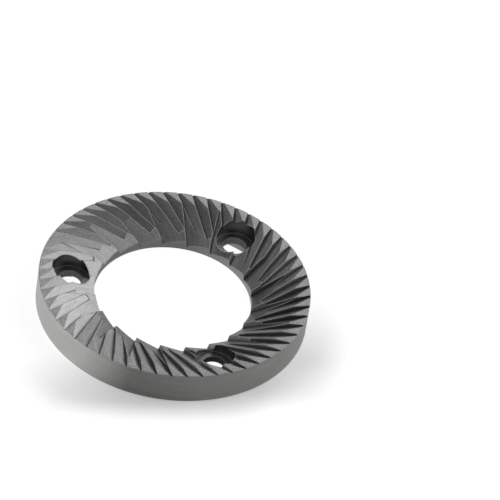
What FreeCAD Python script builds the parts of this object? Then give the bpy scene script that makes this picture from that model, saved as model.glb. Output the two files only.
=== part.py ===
"""Flat grinding burr of a coffee grinder, 64 mm across, as one hardened steel disc.

The frame stands on the burr's flat back rim: the origin is the centre of that rim,
+Z is the burr's axis and points at the teeth. Angles run counter-clockwise from +X,
seen from the tooth side. Lengths are in millimetres and angles in degrees.

The disc is turned first: a ring with a plain bore, a flat tooth face, and a shallow
recess in the back that leaves a raised rim to seat on. Two sets of straight V grooves
then make the teeth. Each groove has one gentle flank and one steep wall, lies askew to
the radius and dips towards the bore. The fine set is shallow at the rim and leaves flat
triangular lands there. The coarse set is deep at the bore and feeds beans to the fine
one. Three counterbored holes take the screws.
"""
import FreeCAD, Part
import Sketcher
import os

OUTPUT_FOLDER = "parts"

# The driving dimensions: name, value and what it measures
SIZES = [
    ("outer_diameter", 64.0, "across the outside wall"),
    ("bore_diameter", 37.1, "across the bore"),
    ("overall_height", 8.05, "back rim to tooth face"),
    ("back_bevel_width", 0.75, "bevel round the back rim, along the radius"),
    ("back_bevel_height", 0.3, "bevel round the back rim, along the axis"),
    ("bore_bevel", 0.3, "bevel where the bore meets the back"),
    ("recess_diameter", 55.4, "across the recess in the back"),
    ("recess_depth", 2.05, "back rim to the seat face inside the recess"),
    ("seat_diameter", 49.0, "across the seat face inside the recess"),
    ("seat_step", 0.2, "how far the ring round the seat face stands proud of it"),
    ("fine_count", 56, "fine grooves round the rim"),
    ("fine_phase", 5.8, "angle where the first fine groove leaves the rim"),
    ("fine_skew", 23.6, "fine groove against the radius, at the rim"),
    ("fine_tilt", 10.2, "dip of the fine groove's bottom"),
    ("fine_rim_depth", 0.29, "depth of the fine groove at the rim"),
    ("fine_length", 13.4, "fine groove's bottom seen from above, from the rim inwards"),
    ("fine_flank", 29.3, "gentle flank of the fine groove, from level"),
    ("fine_wall", 66.3, "steep wall of the fine groove, from level"),
    ("coarse_count", 20, "coarse grooves round the bore"),
    ("coarse_phase", 14.4, "angle where the first coarse groove meets the bore"),
    ("coarse_skew", 19.5, "coarse groove against the radius, at the bore"),
    ("coarse_tilt", 23.6, "dip of the coarse groove's bottom"),
    ("coarse_web", 1.3, "steel left under a coarse groove at the bore"),
    ("coarse_flank", 27.4, "gentle flank of the coarse groove, from level"),
    ("coarse_wall", 75.5, "steep wall of the coarse groove, from level"),
    ("screw_count", 3, "screw holes"),
    ("screw_phase", 60.0, "angle of the first screw hole"),
    ("screw_circle", 48.9, "across the circle of screw holes"),
    ("screw_clearance", 5.6, "across a screw hole where the shank passes"),
    ("screw_head", 9.1, "across a screw hole where the head sinks in"),
    ("screw_web", 1.7, "steel left under a screw's head"),
    ("run_out", 6.0, "how far a cutter's path runs clear of the steel"),
    ("headroom", 1.0, "how far a cutter reaches above the tooth face"),
]

doc = FreeCAD.newDocument("grinder_burr")


def make_sheet():
    """Gives each driving dimension a row of its own: name, number and meaning."""
    sheet = doc.addObject("Spreadsheet::Sheet", "Sizes")
    for row, (name, value, meaning) in enumerate(SIZES, start=1):
        sheet.set("A%d" % row, name)
        sheet.set("B%d" % row, str(value))
        sheet.set("C%d" % row, meaning)
        sheet.setAlias("B%d" % row, name)
    doc.recompute()


def bind(owner, path, expression):
    """Ties a property to the sheet. A name in braces stands for that row's cell."""
    cells = {name: "Sizes." + name for name, _, _ in SIZES}
    owner.setExpression(path, expression.format(**cells))


def origin_part(body, role):
    """Finds one of the body's own base planes or axes."""
    return [item for item in body.Origin.OriginFeatures if item.Role == role][0]


def new_sketch(body, name, plane):
    """Adds an empty sketch on one of the body's own base planes."""
    sketch = body.newObject("Sketcher::SketchObject", name)
    sketch.AttachmentSupport = [(origin_part(body, plane), "")]
    sketch.MapMode = "FlatFace"
    return sketch


def draw_outline(sketch, corners):
    """Draws a closed outline of straight lines, joined end to end."""
    points = [FreeCAD.Vector(x, y, 0) for x, y in corners]
    total = len(points)
    for index in range(total):
        line = Part.LineSegment(points[index], points[(index + 1) % total])
        sketch.addGeometry(line, False)
    for index in range(total):
        following = (index + 1) % total
        sketch.addConstraint(Sketcher.Constraint("Coincident", index, 2, following, 1))


def measure(sketch, kind, targets, name, value, expression):
    """Adds a named dimension to a sketch and ties it to the sheet."""
    number = sketch.addConstraint(Sketcher.Constraint(kind, *targets, value))
    sketch.renameConstraint(number, name)
    bind(sketch, "Constraints." + name, expression)


def repeat_round_axis(body, feature, name, count):
    """Repeats a feature evenly round the burr's axis."""
    pattern = body.newObject("PartDesign::PolarPattern", name)
    pattern.Originals = [feature]
    pattern.Axis = (origin_part(body, "Z_Axis"), [""])
    pattern.Angle = 360.0
    bind(pattern, "Occurrences", count)
    body.Tip = pattern
    return pattern


def turn_blank(body):
    """Turns the ring: half its section, carried once round the axis.

    The corners run from the bore's tooth end outwards, down the outside wall, and
    back along the bevel, the rim, the recess and its two floors to the bore.
    """
    sketch = new_sketch(body, "blank_section", "XZ_Plane")
    corners = [
        ("bore_top", 18.6, 8.0, "{bore_diameter} / 2", "{overall_height}"),
        ("wall_top", 32.0, 8.0, "{outer_diameter} / 2", "{overall_height}"),
        ("wall_foot", 32.0, 0.3, "{outer_diameter} / 2", "{back_bevel_height}"),
        ("rim_outside", 31.2, 0.0, "{outer_diameter} / 2 - {back_bevel_width}", None),
        ("rim_inside", 27.7, 0.0, "{recess_diameter} / 2", None),
        ("ring_outside", 27.7, 1.8, "{recess_diameter} / 2", "{recess_depth} - {seat_step}"),
        ("ring_inside", 24.5, 1.8, "{seat_diameter} / 2", "{recess_depth} - {seat_step}"),
        ("seat_outside", 24.5, 2.0, "{seat_diameter} / 2", "{recess_depth}"),
        ("seat_inside", 18.9, 2.0, "{bore_diameter} / 2 + {bore_bevel}", "{recess_depth}"),
        ("bore_foot", 18.6, 2.3, "{bore_diameter} / 2", "{recess_depth} + {bore_bevel}"),
    ]
    draw_outline(sketch, [(radius, height) for _, radius, height, _, _ in corners])
    for index, (name, radius, height, across, up) in enumerate(corners):
        measure(sketch, "DistanceX", (-1, 1, index, 1), name + "_radius", radius, across)
        if up is None:
            sketch.addConstraint(Sketcher.Constraint("PointOnObject", index, 1, -1))
        else:
            measure(sketch, "DistanceY", (-1, 1, index, 1), name + "_height", height, up)
    blank = body.newObject("PartDesign::Revolution", "turned_blank")
    blank.Profile = sketch
    blank.ReferenceAxis = (sketch, ["V_Axis"])
    blank.Angle = 360.0
    body.Tip = blank


def cut_grooves(body, kind, place, reach, length, outwards):
    """Cuts one set of V grooves, fine or coarse, by its rows in the sheet.

    The cutter's section is a V on a plane square to its path, with the tip at the
    sketch's own origin. The gentle flank rises on the side of smaller angles and the
    steep wall on the other. Both are given in an upright section, so the cosine of
    the path's tilt carries their slopes over to the leaning plane. The reach is the
    height of the V and the length is that of the path.
    """
    sketch = new_sketch(body, kind + "_cutter", "XY_Plane")
    bind(sketch, "AttachmentOffset", place)
    draw_outline(sketch, [(0.0, 0.0), (2.0, 5.0), (-9.0, 5.0)])
    sketch.addConstraint(Sketcher.Constraint("Coincident", 0, 1, -1, 1))
    sketch.addConstraint(Sketcher.Constraint("Horizontal", 1))
    spread = "(REACH) / (tan({KIND_SIDE}) * cos({KIND_tilt}))"
    spread = spread.replace("REACH", reach).replace("KIND", kind)
    measure(sketch, "DistanceY", (-1, 1, 0, 2), "reach", 5.0, reach)
    measure(sketch, "DistanceX", (-1, 1, 0, 2), "wall_spread", 2.0, spread.replace("SIDE", "wall"))
    measure(sketch, "DistanceX", (1, 2, -1, 1), "flank_spread", 9.0, spread.replace("SIDE", "flank"))
    groove = body.newObject("PartDesign::Pocket", kind + "_groove")
    groove.Profile = sketch
    groove.Type = "Length"
    groove.Reversed = outwards
    bind(groove, "Length", length)
    body.Tip = groove
    doc.recompute()
    return repeat_round_axis(body, groove, kind + "_grooves", "{%s_count}" % kind)


def cut_fine_grooves(body):
    """Cuts the fine set inwards from outside the rim.

    The path starts clear of the rim and passes over it at the groove's phase, skewed
    from the radius there, so that it reaches the bore side at smaller angles.
    """
    heading = "({fine_phase} + {fine_skew})"
    place = ("placement(vector("
             "{outer_diameter} / 2 * cos({fine_phase}) + {run_out} * cos(HEADING);"
             "{outer_diameter} / 2 * sin({fine_phase}) + {run_out} * sin(HEADING);"
             "{overall_height} - {fine_rim_depth} + {run_out} * tan({fine_tilt}));"
             "rotation(HEADING + 90; 0; 90 - {fine_tilt}))").replace("HEADING", heading)
    reach = "({fine_rim_depth} + {fine_length} * tan({fine_tilt}) + {headroom}) / cos({fine_tilt})"
    length = "({run_out} + {fine_length}) / cos({fine_tilt})"
    return cut_grooves(body, "fine", place, reach, length, False)


def cut_coarse_grooves(body):
    """Cuts the coarse set outwards from inside the bore.

    The path starts inside the bore, leaves the web's thickness over the recess where
    it passes the bore's wall, and climbs until it is clear of the tooth face.
    """
    heading = "({coarse_phase} + {coarse_skew})"
    place = ("placement(vector("
             "{bore_diameter} / 2 * cos({coarse_phase}) - {run_out} * cos(HEADING);"
             "{bore_diameter} / 2 * sin({coarse_phase}) - {run_out} * sin(HEADING);"
             "{recess_depth} + {coarse_web} - {run_out} * tan({coarse_tilt}));"
             "rotation(HEADING + 90; 0; 90 - {coarse_tilt}))").replace("HEADING", heading)
    rise = "({overall_height} - {recess_depth} - {coarse_web})"
    reach = "(RISE + {run_out} * tan({coarse_tilt}) + {headroom}) / cos({coarse_tilt})"
    length = "(RISE / tan({coarse_tilt}) + {run_out} + {headroom}) / cos({coarse_tilt})"
    return cut_grooves(body, "coarse", place, reach.replace("RISE", rise),
                       length.replace("RISE", rise), True)


def drill_screw_holes(body):
    """Drills the holes from the tooth side: a deep flat seat, then the clearance."""
    sketch = new_sketch(body, "screw_place", "XY_Plane")
    bind(sketch, "AttachmentOffset",
         "placement(vector(0; 0; {overall_height}); rotation({screw_phase}; 0; 0))")
    sketch.addGeometry(Part.Circle(FreeCAD.Vector(24, 0, 0), FreeCAD.Vector(0, 0, 1), 2.8), False)
    sketch.addConstraint(Sketcher.Constraint("PointOnObject", 0, 3, -1))
    measure(sketch, "DistanceX", (-1, 1, 0, 3), "from_axis", 24.0, "{screw_circle} / 2")
    measure(sketch, "Diameter", (0,), "clearance", 5.6, "{screw_clearance}")
    doc.recompute()
    hole = body.newObject("PartDesign::Hole", "screw_hole")
    hole.Profile = sketch
    hole.ThreadType = "None"
    hole.DepthType = "ThroughAll"
    hole.HoleCutType = "Counterbore"
    hole.HoleCutCustomValues = True
    bind(hole, "Diameter", "{screw_clearance}")
    bind(hole, "HoleCutDiameter", "{screw_head}")
    bind(hole, "HoleCutDepth", "{overall_height} - {recess_depth} - {screw_web}")
    body.Tip = hole
    doc.recompute()
    return repeat_round_axis(body, hole, "screw_holes", "{screw_count}")


def check_cut(body, step, before):
    """Makes sure that a step took steel away, and says how much."""
    doc.recompute()
    after = body.Shape.Volume
    if not 0 < after < before:
        raise RuntimeError(step + " cut nothing")
    print("%-14s leaves %9.2f cubic mm" % (step, after))
    return after


def check_document():
    """Stops if any object of the document failed to rebuild."""
    failed = [item.Name for item in doc.Objects
              if "Invalid" in item.State or "Error" in item.State]
    if failed:
        raise RuntimeError("failed to rebuild: " + ", ".join(failed))


def make_burr():
    """Makes the burr, step by step in the order of its machining."""
    body = doc.addObject("PartDesign::Body", "burr")
    body.Label = "burr"
    body.Placement = FreeCAD.Placement()
    turn_blank(body)
    doc.recompute()
    volume = body.Shape.Volume
    print("%-14s has    %9.2f cubic mm" % ("turned blank", volume))
    cut_fine_grooves(body)
    volume = check_cut(body, "fine grooves", volume)
    cut_coarse_grooves(body)
    volume = check_cut(body, "coarse grooves", volume)
    drill_screw_holes(body)
    check_cut(body, "screw holes", volume)
    return body


def save(body):
    """Checks the finished shape and writes it under its own name."""
    shape = body.Shape
    if shape.isNull() or not shape.isValid() or len(shape.Solids) != 1:
        raise RuntimeError(body.Label + " is not one valid solid")
    os.makedirs(OUTPUT_FOLDER, exist_ok=True)
    shape.exportStep(os.path.join(OUTPUT_FOLDER, body.Label + ".step"))
    print("%s: %d faces, box %s" % (body.Label, len(shape.Faces), shape.BoundBox))


make_sheet()
burr = make_burr()
check_document()
save(burr)
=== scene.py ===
# %% [markdown]
# # A flat coffee grinder burr in hardened steel
#
# The object is one solid disc of steel, 64 mm across, that lies on its back with its
# teeth up. The engineering model gives its exact shape. This lesson gives it its looks:
# the finish that each tool leaves on the steel, the rounding of its edges, and a small
# studio around it. All lengths in Blender are metres.

# %% Load the engineering model
import math

import bpy
import numpy as np
from mathutils import Matrix, Vector


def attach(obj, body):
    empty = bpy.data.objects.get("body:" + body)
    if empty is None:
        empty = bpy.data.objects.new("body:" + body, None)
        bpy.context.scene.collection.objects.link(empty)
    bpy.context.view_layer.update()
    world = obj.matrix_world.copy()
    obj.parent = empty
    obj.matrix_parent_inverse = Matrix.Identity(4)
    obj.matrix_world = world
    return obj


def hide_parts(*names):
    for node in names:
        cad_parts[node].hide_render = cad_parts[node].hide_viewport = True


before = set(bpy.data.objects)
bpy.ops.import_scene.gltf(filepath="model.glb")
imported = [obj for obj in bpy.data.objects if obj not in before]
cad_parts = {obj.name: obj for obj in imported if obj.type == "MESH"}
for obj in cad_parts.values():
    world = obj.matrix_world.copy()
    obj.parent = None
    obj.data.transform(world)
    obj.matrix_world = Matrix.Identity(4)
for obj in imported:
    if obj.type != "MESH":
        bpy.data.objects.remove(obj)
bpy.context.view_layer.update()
MM = 0.001

# %% [markdown]
# ## Where the camera stands
#
# The photograph was taken from far away with a long lens, from 41 degrees above the
# table and with the camera rolled a little to one side. A camera in Blender is three
# directions and a place. The three directions come from the two angles. The place comes
# from the distance, and from the point of the picture where the burr's centre falls: the
# camera slides sideways until the centre falls there, so no lens shift is needed.

# %% Camera
PICTURE = 500                       # pixels along each side of the photograph
ELEVATION, ROLL = math.radians(41.212), math.radians(9.481)
FOCAL_PIXELS = 5048.0               # focal length in pixels: a long lens
PIXELS_PER_MM = 4.26                # scale of the photograph at the burr's centre
AIM_PIXEL = (171.304, 306.66)       # where the burr's centre falls in the photograph
AIM_HEIGHT = 0.3                    # that centre is taken at the top of the back bevel, in mm
SENSOR = 36.0                       # sensor width in mm
NEAREST, FARTHEST = 0.05, 20.0      # metres: only what lies between them is drawn


def camera_axes(elevation, roll):
    """The camera's right, up and back directions. Back points from the object to it."""
    back = Vector((0.0, -math.cos(elevation), math.sin(elevation)))
    level_right = Vector((1.0, 0.0, 0.0))
    level_up = back.cross(level_right)
    right = math.cos(roll) * level_right + math.sin(roll) * level_up
    up = -math.sin(roll) * level_right + math.cos(roll) * level_up
    return right, up, back


def make_camera():
    """A camera whose picture of the burr lies where the photograph has it."""
    right, up, back = camera_axes(ELEVATION, ROLL)
    distance = FOCAL_PIXELS / PIXELS_PER_MM
    aside = (AIM_PIXEL[0] - PICTURE / 2) / PIXELS_PER_MM
    above = (PICTURE / 2 - AIM_PIXEL[1]) / PIXELS_PER_MM
    place = Vector((0, 0, AIM_HEIGHT)) + distance * back - aside * right - above * up
    camera = bpy.data.objects.new("camera", bpy.data.cameras.new("camera"))
    bpy.context.scene.collection.objects.link(camera)
    turn = Matrix((right, up, back)).transposed().to_4x4()
    camera.matrix_world = Matrix.Translation(place * MM) @ turn
    camera.data.sensor_width = SENSOR
    camera.data.lens = FOCAL_PIXELS / PICTURE * SENSOR
    camera.data.clip_start, camera.data.clip_end = NEAREST, FARTHEST
    bpy.context.scene.camera = camera
    return camera


camera = make_camera()
print("camera at", [round(value, 3) for value in camera.location], "lens", round(camera.data.lens), "mm")

# %% [markdown]
# ## A copy of the steel body that can carry finishes
#
# The real burr is one lump of steel, but six tools have left their finishes on it: a
# lathe, two grinding wheels, a lapping plate, a drill and the flat cutter that sinks the
# screw heads. The engineering mesh is loose triangles with one material. A copy of it is
# joined here, so that every triangle can say which tool cut it. The shape of the copy is
# the model's own, point for point.
#
# The joining needs no search: triangles that meet use exactly the same numbers for their
# shared corner, so sorting the points and keeping each one once is enough.

# %% Join the triangles
def joined_triangles(mesh):
    """Points and triangles of a mesh of loose triangles, with equal points made one."""
    points = np.empty(3 * len(mesh.vertices), np.float32)
    corners = np.empty(len(mesh.loops), np.int32)
    mesh.vertices.foreach_get("co", points)
    mesh.loops.foreach_get("vertex_index", corners)
    kept, place = np.unique(points.reshape(-1, 3), axis=0, return_inverse=True)
    return kept, place.ravel()[corners].reshape(-1, 3)


def triangle_normals(points, triangles):
    """The unit normal of each triangle: the cross product of two of its sides."""
    first, second, third = (points[triangles[:, k]] for k in range(3))
    cross = np.cross(second - first, third - first)
    return cross / np.linalg.norm(cross, axis=1, keepdims=True)


cad_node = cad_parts["burr"]
points, triangles = joined_triangles(cad_node.data)
points = points.astype(float)
normals = triangle_normals(points, triangles)
print(len(points), "points and", len(triangles), "triangles")

# %% [markdown]
# ## Which tool cut which face
#
# Each tool leaves its faces at angles of its own. The lapped lands are level and at the
# very top. A coarse wheel cut the 20 deep grooves and a fine wheel the 56 shallow ones.
# Each wheel leaves a long gentle flank with its rim and a short steep wall with its side,
# always at the same slopes, and the two sides of a wheel wear differently, so that makes
# four finishes. Upright faces close to a screw hole's axis were drilled, and the level
# ring in each hole, where the screw head sits, was cut flat. All the rest was turned. So
# the height part of a face's normal, the face's own height and its distance from the screw
# holes are enough to sort the faces.

# %% Sort the faces
TOP = 8.05                          # height of the lands, in mm
SCREW_CIRCLE = 24.45                # radius of the circle that the screw holes lie on
SCREW_ANGLES = (60, 180, 300)
SEAT_HEIGHT = 3.75                  # height of the seats for the screw heads
HEAD_RADIUS, SHANK_RADIUS = 4.55, 2.80    # radius of a screw hole above its seat and below it
SLACK = 0.01                        # mm that a face's middle may be off its place
UPRIGHT, LEVEL = 0.05, 0.99         # height part of the normal: less on upright faces, more on level ones
KINDS = 8
FINE_FLANK, COARSE_FLANK, FINE_WALL, COARSE_WALL, TURNED, LAND, SCREW_WALL, SCREW_SEAT = range(KINDS)
RISES = {                           # lowest and highest height part of the normal
    FINE_FLANK: (0.845, LEVEL), COARSE_FLANK: (0.600, 0.845),
    FINE_WALL: (0.320, 0.600), COARSE_WALL: (UPRIGHT, 0.320),
}

centres = points[triangles].mean(axis=1) / MM
rise = normals[:, 2]


def distance_to_screws(where):
    """Distance in the plane, in mm, from each point to the nearest screw hole's axis."""
    angles = np.radians(SCREW_ANGLES)
    axes = SCREW_CIRCLE * np.stack([np.cos(angles), np.sin(angles)], axis=1)
    return np.linalg.norm(where[:, None, :2] - axes, axis=2).min(axis=1)


def tool_of_faces():
    """One number per face: the tool that cut it."""
    tool = np.full(len(triangles), TURNED)
    for kind, (low, high) in RISES.items():
        tool[(rise > low) & (rise <= high)] = kind
    tool[(rise > LEVEL) & (centres[:, 2] > TOP - SLACK)] = LAND
    hole_radius = np.where(centres[:, 2] > SEAT_HEIGHT - SLACK, HEAD_RADIUS, SHANK_RADIUS)
    at_screw = distance_to_screws(centres) < hole_radius + SLACK
    tool[at_screw & (np.abs(rise) < UPRIGHT)] = SCREW_WALL
    tool[at_screw & (rise > LEVEL) & (centres[:, 2] < SEAT_HEIGHT + SLACK)] = SCREW_SEAT
    return tool


tool = tool_of_faces()
print("faces by finish:", np.bincount(tool, minlength=KINDS))

# %% [markdown]
# ## Which way the grinding lines run
#
# A grinding wheel leaves fine lines along its path, so the pattern on each tooth has to
# follow that tooth's own groove. All grooves are copies of one groove turned round the
# axis, so the compass direction of a face's normal tells how far its groove is turned.
# The path's direction is that compass direction plus a fixed angle, with a fixed tilt.
#
# The direction goes into a UV map: U is the height up the face from the bottom line of its
# groove, and V the distance along the path, both in millimetres. On a flat facet such a
# map has no distortion at all, and U also tells where the painted shade in the bottom line goes.
# Each groove also gets a shade of its own, because no two grooves are ground quite alike.

# %% A UV map along the grooves
GROOVES = {                         # turn from the normal to the path and its tilt in degrees, grooves in all
    FINE_FLANK: (-107.8, 10.2, 56), COARSE_FLANK: (-130.1, 23.6, 20),
    FINE_WALL: (94.5, 10.2, 56), COARSE_WALL: (96.4, 23.6, 20),
}
NUMBERS_PER_KIND = 60               # more than the grooves of any kind, so that no number is used twice
GROOVE_SHIFT = 3.7                  # mm along the path from number to number, so that no two look alike
SHADE_SEED = 64


def groove_paths():
    """The path direction of each face, and a number for its groove. Other faces get +Y and 0."""
    path = np.tile((0.0, 1.0, 0.0), (len(triangles), 1))
    number = np.zeros(len(triangles), int)
    compass = np.degrees(np.arctan2(normals[:, 1], normals[:, 0]))
    for kind, (turn, tilt, count) in GROOVES.items():
        here = tool == kind
        heading, slope = np.radians(compass[here] + turn), math.radians(tilt)
        path[here] = np.stack([math.cos(slope) * np.cos(heading), math.cos(slope) * np.sin(heading),
                               np.full(here.sum(), math.sin(slope))], axis=1)
        steps = (compass[here] - compass[here][0]) * count / 360
        number[here] = 1 + NUMBERS_PER_KIND * kind + np.round(steps).astype(int) % count
    return path, number


def wheel_map(path, number):
    """U: how far up its face a corner lies from the groove's lowest line. V: along the path."""
    uphill = np.cross(normals, path)
    uphill *= np.where(uphill[:, 2:] < 0, -1, 1) / np.linalg.norm(uphill, axis=1, keepdims=True)
    corner_points = points[triangles] / MM
    height = np.einsum("fkc,fc->fk", corner_points, uphill)
    lowest = np.full(number.max() + 1, np.inf)
    np.minimum.at(lowest, number, height.min(axis=1))
    along = np.einsum("fkc,fc->fk", corner_points, path) + GROOVE_SHIFT * number[:, None]
    return np.stack([height - lowest[number][:, None], along], axis=2)


path, groove = groove_paths()
wheel_uv = wheel_map(path, groove)
shades = np.random.default_rng(SHADE_SEED).normal(0.0, 1.0, groove.max() + 1)
groove_shade = np.where(groove > 0, shades[groove], 0.0)
highest = wheel_uv[groove > 0, :, 0].max()
print("flanks and walls found:", len(np.unique(groove)) - 1, "and the highest is", round(highest, 2), "mm")

# %% [markdown]
# ## The piece itself
#
# The round walls of the mesh are made of narrow flats, so they need smooth shading, but
# the teeth must stay crisp. An edge is marked sharp where the faces on its two sides turn
# by more than 20 degrees or were cut by different tools. The facets of the teeth are
# flat and stay flat shaded.

# %% Make the piece
SHARP_TURN = math.radians(20)


def edge_keys(pairs):
    """One whole number for each pair of points, the same for both orders of the pair."""
    pairs = np.sort(pairs, axis=1).astype(np.int64)
    return pairs[:, 0] * len(points) + pairs[:, 1]


def sharp_edges(mesh):
    """True for each edge of the mesh whose two faces turn sharply or differ in finish."""
    ends = np.empty(2 * len(mesh.edges), np.int32)
    mesh.edges.foreach_get("vertices", ends)
    sides = np.stack([triangles, np.roll(triangles, -1, axis=1)], axis=2).reshape(-1, 2)
    keys = edge_keys(sides)
    order = np.argsort(keys)
    first, second = np.repeat(np.arange(len(triangles)), 3)[order].reshape(-1, 2).T
    turn = np.einsum("ec,ec->e", normals[first], normals[second]) < math.cos(SHARP_TURN)
    marks = turn | (tool[first] != tool[second])
    return marks[np.searchsorted(keys[order][::2], edge_keys(ends.reshape(-1, 2)))]


def make_burr():
    """A mesh with the model's own points, the finishes, the UV map and the groove shades."""
    mesh = bpy.data.meshes.new("ground_burr")
    mesh.from_pydata(points.tolist(), [], triangles.tolist())
    mesh.polygons.foreach_set("material_index", tool.astype(np.int32))
    mesh.polygons.foreach_set("use_smooth", np.isin(tool, (TURNED, SCREW_WALL, SCREW_SEAT)))
    mesh.attributes.new("sharp_edge", "BOOLEAN", "EDGE").data.foreach_set("value", sharp_edges(mesh))
    mesh.uv_layers.new(name="wheel_path").data.foreach_set("uv", wheel_uv.ravel())
    mesh.attributes.new("groove_shade", "FLOAT", "FACE").data.foreach_set("value", groove_shade)
    mesh.update()
    piece = bpy.data.objects.new("ground_burr", mesh)
    bpy.context.scene.collection.objects.link(piece)
    return piece


burr = make_burr()
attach(burr, "root")
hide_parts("burr")
print("burr piece:", len(burr.data.polygons), "faces")

# %% [markdown]
# ## Small helpers for node trees
#
# A material is a tree of nodes. Written out in full, each node takes four or five lines,
# so four helpers keep the cells short. One adds a node and sets its values or links, one
# adds a Math node, one carries a value from one range to another, and one opens a new
# node group with its inputs and outputs named.

# %% Node helpers
def add(tree, kind, values=None, **settings):
    """A new node. Settings are its own options; values go to its inputs, sockets get a link."""
    node = tree.nodes.new("ShaderNode" + kind)
    for name, setting in settings.items():
        setattr(node, name, setting)
    for key, value in (values or {}).items():
        if isinstance(value, bpy.types.NodeSocket):
            tree.links.new(value, node.inputs[key])
        else:
            node.inputs[key].default_value = value
    return node


def calculate(tree, operation, *terms):
    """The output of a Math node that works on the given numbers or sockets."""
    return add(tree, "Math", dict(enumerate(terms)), operation=operation).outputs[0]


def stretch(tree, value, low, high, to_low=0.0, to_high=1.0):
    """The value carried from the range low..high to the range to_low..to_high, and held there."""
    keys = ("Value", "From Min", "From Max", "To Min", "To Max")
    return add(tree, "MapRange", dict(zip(keys, (value, low, high, to_low, to_high)))).outputs[0]


def new_group(name, inputs, outputs):
    """An empty node group: its tree, the sockets it is given and the sockets it puts out."""
    tree = bpy.data.node_groups.new(name, "ShaderNodeTree")
    for label, kind, value in inputs:
        socket = tree.interface.new_socket(label, in_out="INPUT", socket_type="NodeSocket" + kind)
        if value is not None:
            socket.default_value = value
    for label, kind in outputs:
        tree.interface.new_socket(label, in_out="OUTPUT", socket_type="NodeSocket" + kind)
    return tree, tree.nodes.new("NodeGroupInput").outputs, tree.nodes.new("NodeGroupOutput").inputs


print("helpers: add, calculate, stretch, new_group")

# %% [markdown]
# ## Tool lines: the pattern that every cutter leaves
#
# A lathe tool and a grinding wheel both leave lines that are very fine across their path
# and very long along it. Noise gives such a pattern when its place is squeezed across the
# path and drawn out along it. One group serves all the finishes: each material hands it a
# place in millimetres, and says how many lines there are in a millimetre and how long
# they run. Two sizes are mixed, because a worn cutter leaves a few deep lines among many
# fine ones.

# %% The tool_lines group
LINE_SIZES = (1.0, 3.0), (0.22, 2.0)      # fine and deep: share of the lines per mm, the noise's detail
LINE_NOISE_ROUGHNESS = 0.6
DEEP_SHARE = 0.45                   # how much the few deep lines count
LINE_NOISE_SPAN = 0.3, 0.7          # most of the noise lies between these two, which become 0 and 1


def make_tool_lines():
    """Lines that run along Y of the place given, as a height from 0 to 1."""
    tree, given, out = new_group(
        "tool_lines",
        [("Place", "Vector", None), ("Lines per mm", "Float", 6.0), ("Length mm", "Float", 8.0)],
        [("Height", "Float")])
    parts = add(tree, "SeparateXYZ", {0: given["Place"]}).outputs
    along = calculate(tree, "DIVIDE", parts["Y"], given["Length mm"])
    depth = calculate(tree, "DIVIDE", parts["Z"], given["Length mm"])
    heights = []
    for share, detail in LINE_SIZES:
        lines = calculate(tree, "MULTIPLY", given["Lines per mm"], share)
        across = calculate(tree, "MULTIPLY", parts["X"], lines)
        spot = add(tree, "CombineXYZ", {"X": across, "Y": along, "Z": depth}).outputs[0]
        noise = add(tree, "TexNoise", {"Vector": spot, "Scale": 1.0, "Detail": detail,
                                       "Roughness": LINE_NOISE_ROUGHNESS})
        heights.append(noise.outputs["Fac"])
    mixed = add(tree, "Mix", {"Factor": DEEP_SHARE, "A": heights[0], "B": heights[1]}).outputs[0]
    tree.links.new(stretch(tree, mixed, *LINE_NOISE_SPAN), out["Height"])
    return tree


tool_lines = make_tool_lines()
print("group", tool_lines.name, "has", len(tool_lines.nodes), "nodes")

# %% [markdown]
# ## Rounded edges
#
# No real edge is perfectly sharp: deburring leaves a radius of some hundredths of a
# millimetre. It is far too small to model on every tooth, yet it is what makes the ridges
# glint. The Bevel node turns the shading normal near an edge as if the edge were rounded.
# Its radius is larger than the real one, so that the glint is about a pixel wide.
#
# A second Bevel node, with a longer reach, serves only as a feeler: where it turns the
# normal away from the face's own, an edge is near. There the steel is rubbed dull, because
# deburring and handling reach the edges first, and its colour is painted pale as a
# highlight along the ridges.

# %% The rounded_edges group
EDGE_RADIUS = 0.26 * MM             # how far the shading is rounded
WEAR_AND_GLINT_REACH = 0.36 * MM              # how far from the edge the wear and the painted highlight reach
WEAR_AND_GLINT_STARTS, WEAR_AND_GLINT_FULL = 0.995, 0.94      # agreement of the two normals where wear and painted highlight start and are full


def make_rounded_edges():
    """A normal that rounds each edge, and a mask that is 1 on the edge and 0 away from it."""
    tree, _, out = new_group("rounded_edges", [], [("Normal", "Vector"), ("Edge", "Float")])
    rounded = add(tree, "Bevel", {"Radius": EDGE_RADIUS}, samples=4).outputs[0]
    far_rounded = add(tree, "Bevel", {"Radius": WEAR_AND_GLINT_REACH}, samples=8).outputs[0]
    plain = add(tree, "NewGeometry").outputs["Normal"]
    agree = add(tree, "VectorMath", {0: far_rounded, 1: plain}, operation="DOT_PRODUCT").outputs["Value"]
    tree.links.new(rounded, out["Normal"])
    tree.links.new(stretch(tree, agree, WEAR_AND_GLINT_STARTS, WEAR_AND_GLINT_FULL), out["Edge"])
    return tree


rounded_edges = make_rounded_edges()
print("group", rounded_edges.name, "rounds edges over", round(EDGE_RADIUS / MM, 3), "mm")

# %% [markdown]
# ## Cloudy steel
#
# Under soft light, bare hardened steel is not one grey. Patches of slightly different
# brightness, a few millimetres across, come from uneven cooling in the furnace, and a
# fine grain comes from the metal's own crystals. Both are plain noise on the object's own
# coordinates, so both come from one loop.
#
# The group mixes them with the tool lines. Each of the three has a share, and the shares
# add up to one. On ground faces the groove's own shade goes on top. The result is the
# tone: 0 is the darkest steel of a finish and 1 the lightest.

# %% The cloudy_steel group
CLOUD_SIZES = ("Cloud share", 5.0, 3.0), ("Grain share", 0.32, 1.5)      # input, size in mm, noise's detail
CLOUD_NOISE_ROUGHNESS = 0.55
CLOUD_NOISE_SPAN = 0.32, 0.68       # most of the noise lies between these two, which become 0 and 1


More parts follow.
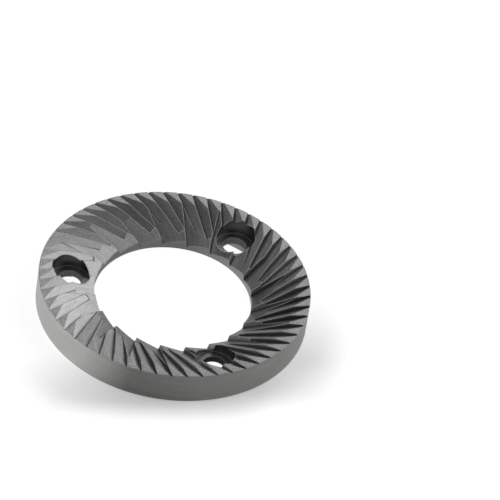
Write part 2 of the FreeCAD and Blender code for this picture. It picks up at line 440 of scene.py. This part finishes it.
def make_cloudy_steel():
    """The tone: lines, clouds and grain by their shares, plus the groove's own shade by its share."""
    tree, given, out = new_group(
        "cloudy_steel",
        [("Lines", "Float", 0.5), ("Cloud share", "Float", 0.2), ("Grain share", "Float", 0.2),
         ("Shade share", "Float", 0.0)],
        [("Tone", "Float")])
    place = add(tree, "TexCoord").outputs["Object"]
    others = calculate(tree, "ADD", given["Cloud share"], given["Grain share"])
    tone = calculate(tree, "MULTIPLY", given["Lines"], calculate(tree, "SUBTRACT", 1.0, others))
    for share, size, detail in CLOUD_SIZES:
        noise = add(tree, "TexNoise", {"Vector": place, "Scale": 1 / (size * MM), "Detail": detail,
                                       "Roughness": CLOUD_NOISE_ROUGHNESS})
        amount = stretch(tree, noise.outputs["Fac"], *CLOUD_NOISE_SPAN)
        tone = calculate(tree, "MULTIPLY_ADD", amount, given[share], tone)
    own = add(tree, "Attribute", attribute_name="groove_shade").outputs["Fac"]
    tree.links.new(calculate(tree, "MULTIPLY_ADD", own, given["Shade share"], tone), out["Tone"])
    return tree


cloudy_steel = make_cloudy_steel()
print("group", cloudy_steel.name, "has", len(cloudy_steel.nodes), "nodes")

# %% [markdown]
# ## Painted shade in the bottom lines
#
# The bottom line of each groove, where the flank meets the wall, is painted dark: it is
# painted shade in the crease. The UV map's U already says how far up the face a place
# lies, so the painted shade is a mask that fades out with U, and each kind of face says
# how far up.

# %% The painted shade group for the bottom lines
def make_painted_valley_shade():
    """A mask: the strength up to one height on the face, then fading, and 0 above the other."""
    tree, given, out = new_group(
        "painted_valley_shade",
        [("Place", "Vector", None), ("Strength", "Float", 0.9), ("Full mm", "Float", 0.1),
         ("Gone mm", "Float", 0.4)],
        [("Valley shade", "Float")])
    up_face = add(tree, "SeparateXYZ", {0: given["Place"]}).outputs["X"]
    valley_shade = stretch(tree, up_face, given["Full mm"], given["Gone mm"], given["Strength"], 0.0)
    tree.links.new(valley_shade, out["Valley shade"])
    return tree


painted_valley_shade = make_painted_valley_shade()
print("group", painted_valley_shade.name, "has", len(painted_valley_shade.nodes), "nodes")

# %% [markdown]
# ## Worn steel, with painted shade and painted highlight
#
# The two masks, the painted shade of the bottom lines and the edge, change the steel in the
# same way on every finish, so one group does it. The painted shade darkens the colour. On
# the edges the steel is rubbed dull and painted pale as a highlight, but not down in the
# painted shade.

# %% The group for worn steel, painted shade and painted highlight
VALLEY_SHADE_COLOUR = (0.05, 0.05, 0.05)           # painted shade for a groove's bottom line
RUBBED_AND_HIGHLIT = (0.92, 0.92, 0.91)         # rubbed steel, painted pale as a highlight on the edges
RUBBED_ROUGHNESS = 0.9


def blended(tree, share, colour, other):
    """The colour at share 0 and the other at share 1. The Mix node has them at inputs 6 and 7."""
    ends = [(*end, 1) if isinstance(end, tuple) else end for end in (colour, other)]
    return add(tree, "Mix", {"Factor": share, 6: ends[0], 7: ends[1]}, data_type="RGBA").outputs[2]


def make_worn_and_painted_steel():
    """Colour and roughness with the painted shade on them, and the edges rubbed dull and painted pale."""
    tree, given, out = new_group(
        "worn_and_painted_steel",
        [("Colour", "Color", None), ("Roughness", "Float", 0.3), ("Valley shade", "Float", 0.0),
         ("Edge", "Float", 0.0), ("Wear and glint", "Float", 1.0)],
        [("Colour", "Color"), ("Roughness", "Float")])
    worn_and_painted = calculate(tree, "MULTIPLY", given["Edge"], given["Wear and glint"])
    worn_and_painted = calculate(tree, "MULTIPLY", worn_and_painted, calculate(tree, "SUBTRACT", 1.0, given["Valley shade"]))
    # Painted shade: the colour is darkened towards the bottom line of the groove.
    valley_shaded = blended(tree, given["Valley shade"], given["Colour"], VALLEY_SHADE_COLOUR)
    rough = add(tree, "Mix", {"Factor": worn_and_painted, "A": given["Roughness"], "B": RUBBED_ROUGHNESS}).outputs[0]
    # Painted highlight: the edges are made paler as well as rubbed dull.
    tree.links.new(blended(tree, worn_and_painted, valley_shaded, RUBBED_AND_HIGHLIT), out["Colour"])
    tree.links.new(rough, out["Roughness"])
    return tree


worn_and_painted_steel = make_worn_and_painted_steel()
print("group", worn_and_painted_steel.name, "has", len(worn_and_painted_steel.nodes), "nodes")

# %% [markdown]
# ## Two ways to say where a line runs
#
# On turned faces the lathe's lines are circles round the axis. The place is then the
# distance from the axis plus the height, which changes across the lines on walls and
# level faces alike, and a direction on the unit circle, which has no seam. On ground
# faces the UV map already holds the distances across and along the wheel's path.
#
# Real tool lines also spread a reflection across them. That is what the shader's
# Anisotropic value does, once a Tangent node tells it which way is across. On ground faces
# that is the UV map's U. Round the axis the node gives the way along the circles, and the
# Anisotropic Rotation turns it by a quarter.

# %% Places and directions of the lines
OUTSIDE_RADIUS = 32.0               # mm
QUARTER_TURN = 0.25                 # of the Anisotropic Rotation, whose full circle is 1


def turned_place(tree):
    """Across: radius plus height, in mm. Along: the point of the burr's rim in this direction."""
    spot = add(tree, "SeparateXYZ", {0: add(tree, "TexCoord").outputs["Object"]}).outputs
    flat = add(tree, "CombineXYZ", {"X": spot["X"], "Y": spot["Y"]}).outputs[0]
    radius = add(tree, "VectorMath", {0: flat}, operation="LENGTH").outputs["Value"]
    outwards = add(tree, "VectorMath", {0: flat}, operation="NORMALIZE").outputs[0]
    around = add(tree, "SeparateXYZ", {0: outwards}).outputs
    across = calculate(tree, "MULTIPLY", calculate(tree, "ADD", radius, spot["Z"]), 1 / MM)
    east = calculate(tree, "MULTIPLY", around["X"], OUTSIDE_RADIUS)
    north = calculate(tree, "MULTIPLY", around["Y"], OUTSIDE_RADIUS)
    return add(tree, "CombineXYZ", {"X": across, "Y": east, "Z": north}).outputs[0]


def ground_place(tree):
    """Across and along the wheel's path, in mm, from the UV map."""
    return add(tree, "UVMap", uv_map="wheel_path").outputs[0]


def spread_across(tree, shader, place):
    """Points the shader's tangent across the lines, by the axis or by the UV map."""
    if place is turned_place:
        tangent = add(tree, "Tangent", direction_type="RADIAL", axis="Z")
        shader.inputs["Anisotropic Rotation"].default_value = QUARTER_TURN
    else:
        tangent = add(tree, "Tangent", direction_type="UV_MAP", uv_map="wheel_path")
    tree.links.new(tangent.outputs[0], shader.inputs["Tangent"])


print("turned lines are measured round a rim of", OUTSIDE_RADIUS, "mm radius")

# %% [markdown]
# ## One recipe for every finish
#
# Every finish is bare metal, so one recipe serves them all, and only its numbers differ.
# The tone mixes a dark and a light steel colour. It also sets the polish, because a
# lighter place is a rougher one. The painted shade of the bottom lines, and the wear with
# its painted highlight on the edges, go on top of both, and the lines make a bump on top of
# the rounded edges. Values that are the same all over a face, such as Metallic and
# Anisotropic, stay on the shader's own sockets.

# %% The recipe
def make_finish(name, place, dark, light, polish, lines, length, depth, cloud, grain, spread, wear_and_glint,
                shade=0.0, valley_shade=(0.0, 0.0, 1.0)):
    """A metal finish. Polish is the least and most roughness; depth is the bump's height in mm.

    The painted shade of the bottom line: its strength and the heights up the face, in mm, where it is full
    and gone.
    """
    material = bpy.data.materials.new(name)
    material.use_nodes = True
    tree = material.node_tree
    shader = tree.nodes["Principled BSDF"]
    shader.inputs["Metallic"].default_value = 1.0
    shader.inputs["Anisotropic"].default_value = spread
    spot = place(tree)
    height = add(tree, "Group", {"Place": spot, "Lines per mm": lines, "Length mm": length},
                 node_tree=tool_lines).outputs["Height"]
    tone = add(tree, "Group", {"Lines": height, "Cloud share": cloud, "Grain share": grain,
                               "Shade share": shade}, node_tree=cloudy_steel).outputs["Tone"]
    edges = add(tree, "Group", node_tree=rounded_edges).outputs
    steel = {"Colour": blended(tree, tone, dark, light), "Roughness": stretch(tree, tone, 0.0, 1.0, *polish),
             "Edge": edges["Edge"], "Wear and glint": wear_and_glint}
    # Painted shade: the bottom line of each groove is darkened.
    strength, full, gone = valley_shade
    if strength:
        steel["Valley shade"] = add(tree, "Group", {"Place": spot, "Strength": strength, "Full mm": full,
                                            "Gone mm": gone}, node_tree=painted_valley_shade).outputs["Valley shade"]
    worn_and_painted = add(tree, "Group", steel, node_tree=worn_and_painted_steel).outputs
    bump = add(tree, "Bump", {"Height": height, "Distance": depth * MM, "Strength": 1.0,
                              "Normal": edges["Normal"]}).outputs[0]
    tree.links.new(worn_and_painted["Colour"], shader.inputs["Base Color"])
    tree.links.new(worn_and_painted["Roughness"], shader.inputs["Roughness"])
    tree.links.new(bump, shader.inputs["Normal"])
    if spread:
        spread_across(tree, shader, place)
    return material


print("the recipe uses", [group.name for group in bpy.data.node_groups])

# %% [markdown]
# ## The ground faces
#
# The flanks are what the rims of the wheels have cut. In the photograph they are pale and
# grainy, with painted shade only in the bottom line. The walls are what the wheels' sides
# have rubbed past: smoother, and with the painted shade much further up. Their colours are
# set by how bright the walls look under this light, so the fine walls are painted darker
# and the coarse walls lighter. The coarse wheel leaves fewer and deeper lines than the fine
# one. So four sets of numbers go into the one recipe.

# %% Finishes of the ground faces
FINISHES = {
    FINE_FLANK: dict(
        name="fine_flank", place=ground_place, dark=(0.34, 0.34, 0.336), light=(0.83, 0.825, 0.82),
        polish=(0.26, 0.40), lines=2.6, length=8.0, depth=0.0030, cloud=0.12, grain=0.42,
        spread=0.5, wear_and_glint=1.0, shade=0.10, valley_shade=(0.9, 0.10, 0.34)),
    COARSE_FLANK: dict(
        name="coarse_flank", place=ground_place, dark=(0.33, 0.33, 0.326), light=(0.80, 0.795, 0.79),
        polish=(0.28, 0.42), lines=2.0, length=10.0, depth=0.0040, cloud=0.12, grain=0.42,
        spread=0.5, wear_and_glint=1.0, shade=0.10, valley_shade=(0.9, 0.10, 0.40)),
    # Darker than the flanks: painted shade on the steep fine walls.
    FINE_WALL: dict(
        name="fine_wall", place=ground_place, dark=(0.16, 0.16, 0.156), light=(0.41, 0.405, 0.40),
        polish=(0.26, 0.38), lines=3.0, length=8.0, depth=0.0020, cloud=0.15, grain=0.30,
        spread=0.5, wear_and_glint=1.0, shade=0.08, valley_shade=(0.9, 0.15, 0.80)),
    # Lighter than the fine walls: painted light, where the lamps leave these walls dim.
    COARSE_WALL: dict(
        name="coarse_wall", place=ground_place, dark=(0.34, 0.34, 0.336), light=(0.62, 0.615, 0.61),
        polish=(0.28, 0.40), lines=2.0, length=10.0, depth=0.0030, cloud=0.15, grain=0.30,
        spread=0.5, wear_and_glint=1.0, shade=0.08, valley_shade=(0.8, 0.15, 0.60)),
}
print(len(FINISHES), "finishes for the ground faces")

# %% [markdown]
# ## The other faces
#
# The turned faces are a calm mid grey with fine lines, and their edges carry little wear
# or painted highlight. The lands were lapped flat on a plate with loose grit, which leaves
# hardly a line but a strong grain, so they sparkle between dark and light. The drilled
# walls of the screw holes are painted darkest and the seats for the screw heads a little
# lighter: painted shade inside the holes. None of these faces lies in a groove, so none has
# the painted shade of the bottom lines or a groove's own shade.

# %% Finishes of the other faces
FINISHES.update({
    TURNED: dict(
        name="turned_steel", place=turned_place, dark=(0.47, 0.466, 0.457), light=(0.69, 0.685, 0.673),
        polish=(0.30, 0.40), lines=9.0, length=14.0, depth=0.0015, cloud=0.20, grain=0.20,
        spread=0.6, wear_and_glint=0.25),
    LAND: dict(
        name="lapped_land", place=turned_place, dark=(0.27, 0.27, 0.266), light=(0.89, 0.89, 0.88),
        polish=(0.28, 0.44), lines=3.0, length=6.0, depth=0.0015, cloud=0.18, grain=0.66,
        spread=0.0, wear_and_glint=0.9),
    # The drilled walls and the seats are darkened: painted shade inside the screw holes.
    SCREW_WALL: dict(
        name="drilled_wall", place=turned_place, dark=(0.14, 0.14, 0.14), light=(0.23, 0.23, 0.227),
        polish=(0.30, 0.42), lines=8.0, length=20.0, depth=0.0015, cloud=0.30, grain=0.15,
        spread=0.0, wear_and_glint=0.5),
    SCREW_SEAT: dict(
        name="milled_seat", place=turned_place, dark=(0.26, 0.26, 0.26), light=(0.44, 0.44, 0.435),
        polish=(0.30, 0.42), lines=8.0, length=20.0, depth=0.0015, cloud=0.30, grain=0.15,
        spread=0.0, wear_and_glint=0.5),
})
for kind in range(KINDS):
    burr.data.materials.append(make_finish(**FINISHES[kind]))
print("finishes:", [material.name for material in burr.data.materials])

# %% [markdown]
# ## The table
#
# The burr lies on a plain white table. A white table lit at a plain level is still not
# pure white in the picture, and more lamps would only overexpose the steel. So the
# table's own shader glows a little, and the Light Path node says which rays see the glow:
# one glow for the camera, and another for the mirror that the steel is.
#
# Both glows change with the distance from the axis. A Color Ramp holds three numbers at
# each of its stops, as red, green and blue, so one ramp can carry several shares at once.

# %% A ramp that carries three numbers
def ramp(tree, value, stops):
    """Three outputs that run through the stops: each stop is a value and its three numbers.

    A new ramp has two stops of its own, so the second is removed and the first is changed.
    """
    first, last = stops[0][0], stops[-1][0]
    node = add(tree, "ValToRGB", {0: stretch(tree, value, first, last)})
    elements = node.color_ramp.elements
    elements.remove(elements[1])
    elements[0].color = (*stops[0][1:], 1)
    for place, *numbers in stops[1:]:
        elements.new((place - first) / (last - first)).color = (*numbers, 1)
    return list(add(tree, "SeparateColor", {0: node.outputs[0]}).outputs)


print("a ramp gives three numbers for one value")

# %% [markdown]
# ## The burr's painted shadow
#
# The camera glow would wash out the lamps' own shadow, so a shadow is painted into it: the
# glow is held back where the burr keeps the light away. Soft lamps give a shadow that is
# a fan: deep and short in front, long and faint on the right, and none behind. So the
# painted shadow's reach and depth depend on the direction alone, and a ramp over the
# direction carries them.

# %% The painted shadow fan
UNDER_RIM = 29.0, 30.0              # mm from the axis, hidden under the burr: no shadow further in
RIM = 31.5                          # mm from the axis, where the fades start
FAN_REACH = 20.0                    # mm, the longest that the fan gets
PAINTED_SHADOW_FAN = (                      # degrees from the front to the right, mm to both ends of the fade, depth
    (-50, 8, 18, 0.00), (-45, 8, 18, 0.07), (-30, 8, 18, 0.34), (-15, 3, 12, 0.50), (0, 0, 9, 0.56),
    (15, 0, 8, 0.50), (30, 0, 9, 0.54), (45, 0, 10, 0.60), (60, 0, 16, 0.50), (75, 3, 15, 0.46),
    (90, 2, 14, 0.28), (105, 0, 12, 0.12), (120, 0, 10, 0.0),
)


def painted_shadow(tree, spot, radius):
    """How much of the camera glow the painted shadow takes away: its depth, faded out from near to far."""
    to_front = calculate(tree, "MULTIPLY", spot["Y"], -1.0)
    degrees = calculate(tree, "DEGREES", calculate(tree, "ARCTAN2", spot["X"], to_front))
    near, far, depth = ramp(tree, degrees, [(angle, start / FAN_REACH, end / FAN_REACH, most)
                                            for angle, start, end, most in PAINTED_SHADOW_FAN])
    away = stretch(tree, radius, RIM, RIM + FAN_REACH)
    fade = add(tree, "MapRange", {"Value": away, "From Min": near, "From Max": far,
                                  "To Min": depth, "To Max": 0.0}, interpolation_type="SMOOTHSTEP")
    return calculate(tree, "MULTIPLY", fade.outputs[0], stretch(tree, radius, *UNDER_RIM))


print("shadow fan of", len(PAINTED_SHADOW_FAN), "directions, deepest", max(most for *_, most in PAINTED_SHADOW_FAN))

# %% [markdown]
# ## What the table looks like to the camera and to the steel
#
# Camera rays see a glow that brings the table to white, less the painted shadow.
#
# Half of what polished steel shows here is the table, so mirror rays see a glow of their
# own, and that glow is painted light and painted shade. In the photograph the table is
# white on the left and behind, where the lamps light it, and dim in front, in the burr's
# shadow, so the glow is painted bright on the left and behind and dim in front. Under the
# burr it is painted dim, as if only the light through the holes were left. In the bore it
# is painted lighter to the right, where the light falls in.

# %% The two glows
MIRROR_GLOW = 0.52                  # what a mirror ray adds where the table is painted brightest
PAINTED_LIGHT_SIDE = -50                      # compass direction of the painted light on the table
PAINTED_LIGHT_EDGE = -0.45                    # cosine of the angle to that side where its glow has faded out
RIGHT_GLOW, RIGHT_REACH = 0.16, 28.0      # share of the glow on the right, full at this X in mm
BORE_GLOW, BORE_REACH = (0.07, 0.65), 13.5    # share in the bore's middle and at this X in mm
GLOW_RINGS = (                      # mm from the axis: share around, share in the bore, camera glow
    (18.5, 0.0, 1.0, 0.88), (19.0, 0.0, 0.0, 0.88), (20, 0.5, 0.0, 0.88), (29, 0.5, 0.0, 0.88),
    (30, 0.75, 0.0, 0.80), (31, 1.0, 0.0, 0.80), (42, 1.0, 0.0, 0.80), (85, 0.0, 0.0, 0.80),
)


def towards(azimuth, elevation):
    """A unit vector. Azimuth 0 is behind the burr and 90 to its right."""
    east, north = math.sin(math.radians(azimuth)), math.cos(math.radians(azimuth))
    level, rise = math.cos(math.radians(elevation)), math.sin(math.radians(elevation))
    return Vector((level * east, level * north, rise))


def table_glow(tree):
    """The glow's strength for camera rays and for mirror rays, from the place on the table."""
    place = add(tree, "VectorMath", {0: add(tree, "TexCoord").outputs["Object"], "Scale": 1 / MM},
                operation="SCALE").outputs[0]
    spot = add(tree, "SeparateXYZ", {0: place}).outputs
    flat = add(tree, "CombineXYZ", {"X": spot["X"], "Y": spot["Y"]}).outputs[0]
    radius = add(tree, "VectorMath", {0: flat}, operation="LENGTH").outputs["Value"]
    outward = add(tree, "VectorMath", {0: flat}, operation="NORMALIZE").outputs[0]
    # Painted light: the mirror glow is bright on the left and behind, and painted dim in front and under the
    # burr.
    side = add(tree, "VectorMath", {0: outward, 1: towards(PAINTED_LIGHT_SIDE, 0)}, operation="DOT_PRODUCT")
    left = stretch(tree, side.outputs["Value"], PAINTED_LIGHT_EDGE, 0.0)
    right = stretch(tree, spot["X"], 0.0, RIGHT_REACH, 0.0, RIGHT_GLOW)
    in_bore = stretch(tree, spot["X"], 0.0, BORE_REACH, *BORE_GLOW)
    ring_around, ring_in_bore, for_camera = ramp(tree, radius, GLOW_RINGS)
    around = calculate(tree, "MULTIPLY", ring_around, calculate(tree, "MAXIMUM", left, right))
    shares = calculate(tree, "ADD", around, calculate(tree, "MULTIPLY", ring_in_bore, in_bore))
    for_mirror = calculate(tree, "MULTIPLY", shares, MIRROR_GLOW)
    # The painted shadow is taken out of the camera glow.
    lit = calculate(tree, "SUBTRACT", 1.0, painted_shadow(tree, spot, radius))
    rays = add(tree, "LightPath").outputs
    to_mirror = calculate(tree, "MAXIMUM", rays["Is Glossy Ray"], rays["Is Transmission Ray"])
    to_camera = calculate(tree, "MULTIPLY", lit, rays["Is Camera Ray"])
    camera_part = calculate(tree, "MULTIPLY", for_camera, to_camera)
    return calculate(tree, "MULTIPLY_ADD", for_mirror, to_mirror, camera_part)


print("the table's white side lies towards", [round(part, 2) for part in towards(PAINTED_LIGHT_SIDE, 0)])

# %% [markdown]
# ## The table top
#
# The table needs no thickness, because only its top is ever seen, so one large square
# will do. It lies a hair under the burr's back: two faces in one plane would flicker.

# %% Make the table
FLOOR_SIZE = 6.0                    # metres
FLOOR_COLOUR = (0.80, 0.80, 0.80)
FLOOR_ROUGHNESS, FLOOR_GLOSS = 0.8, 0.2
TABLE_GAP = 0.05 * MM               # so that the table and the burr's back don't share one plane


def make_table():
    """A square table top just under the burr's back, with the burr at its middle."""
    half, low = FLOOR_SIZE / 2, -TABLE_GAP
    mesh = bpy.data.meshes.new("table")
    corners = [(-half, -half, low), (half, -half, low), (half, half, low), (-half, half, low)]
    mesh.from_pydata(corners, [], [(0, 1, 2, 3)])
    table = bpy.data.objects.new("table", mesh)
    bpy.context.scene.collection.objects.link(table)
    material = bpy.data.materials.new("white_table")
    material.use_nodes = True
    tree = material.node_tree
    shader = tree.nodes["Principled BSDF"]
    shader.inputs["Base Color"].default_value = (*FLOOR_COLOUR, 1)
    shader.inputs["Roughness"].default_value = FLOOR_ROUGHNESS
    shader.inputs["Specular IOR Level"].default_value = FLOOR_GLOSS
    shader.inputs["Emission Color"].default_value = (1, 1, 1, 1)
    tree.links.new(table_glow(tree), shader.inputs["Emission Strength"])
    mesh.materials.append(material)
    return table


table = make_table()
print("table", round(table.dimensions.x, 2), "m wide")

# %% [markdown]
# ## Softboxes
#
# Steel shows where the lamps stood. On the left of the ring the flanks lean to the right
# and the back, and they are bright, so the key softboxes stand there. The left of the
# outer wall is bright too, so a softbox stands low on the left. The lands face straight
# up, so from this camera they mirror the back softbox. The flanks at the back lean to the
# front and the left and are dark, so the softboxes that they mirror are weak.
#
# A softbox is a rectangular lamp with a soft, even face. Its brightness is given here as
# the brightness of that face, where 1 is the white of the picture, because that is what a
# mirror shows. The power that an area lamp needs for it is that brightness times pi times
# its area.

# %% Make the softboxes
LAMP_DISTANCE = 0.8                 # metres from the burr's centre
SOFTBOXES = (                       # name, azimuth and elevation, width and height in metres, brightness
    ("key_softbox", 58, 24, 0.42, 0.70, 0.95),
    ("low_key_softbox", 56, 12, 0.48, 0.30, 1.02),
    ("back_softbox", 6, 24, 0.60, 0.72, 0.65),
    ("high_softbox", 85, 56, 0.44, 0.40, 0.90),
    ("top_softbox", 90, 84, 0.40, 0.40, 0.11),
    ("side_softbox", -46, 30, 0.36, 0.40, 0.11),
    ("left_softbox", -92, 13, 0.62, 0.36, 1.45),
    ("front_softbox", -155, 28, 0.90, 0.60, 0.27),
)


def make_softbox(name, azimuth, elevation, width, height, brightness):
    """An area lamp that faces the burr. Azimuth 0 is behind the burr, 90 is to its right."""
    direction = towards(azimuth, elevation)
    lamp = bpy.data.lights.new(name, "AREA")
    lamp.shape = "RECTANGLE"
    lamp.size, lamp.size_y = width, height
    lamp.energy = brightness * math.pi * width * height
    holder = bpy.data.objects.new(name, lamp)
    bpy.context.scene.collection.objects.link(holder)
    facing = direction.to_track_quat("Z", "Y").to_matrix().to_4x4()
    holder.matrix_world = Matrix.Translation(direction * LAMP_DISTANCE) @ facing
    return holder


softboxes = [make_softbox(*softbox) for softbox in SOFTBOXES]
print(len(softboxes), "softboxes,", round(sum(holder.data.energy for holder in softboxes), 2), "W in all")

# %% [markdown]
# ## The room
#
# The rest of the room is dim: it only keeps the faces that mirror no lamp from going
# black. It is a little lighter overhead than at the sides.

# %% Room light
ROOM_AT_SIDES, ROOM_OVERHEAD = 0.08, 0.09


def make_room():
    """A world that grows from dim at the horizon to a little lighter overhead."""
    world = bpy.data.worlds.new("studio_room")
    bpy.context.scene.world = world
    world.use_nodes = True
    tree = world.node_tree
    up = add(tree, "SeparateXYZ", {0: add(tree, "TexCoord").outputs["Generated"]}).outputs["Z"]
    strength = stretch(tree, up, 0.0, 1.0, ROOM_AT_SIDES, ROOM_OVERHEAD)
    tree.links.new(strength, tree.nodes["Background"].inputs["Strength"])
    tree.nodes["Background"].inputs["Color"].default_value = (1, 1, 1, 1)


make_room()
bpy.context.scene.view_settings.view_transform = "Standard"
print("room light", ROOM_AT_SIDES, "to", ROOM_OVERHEAD)
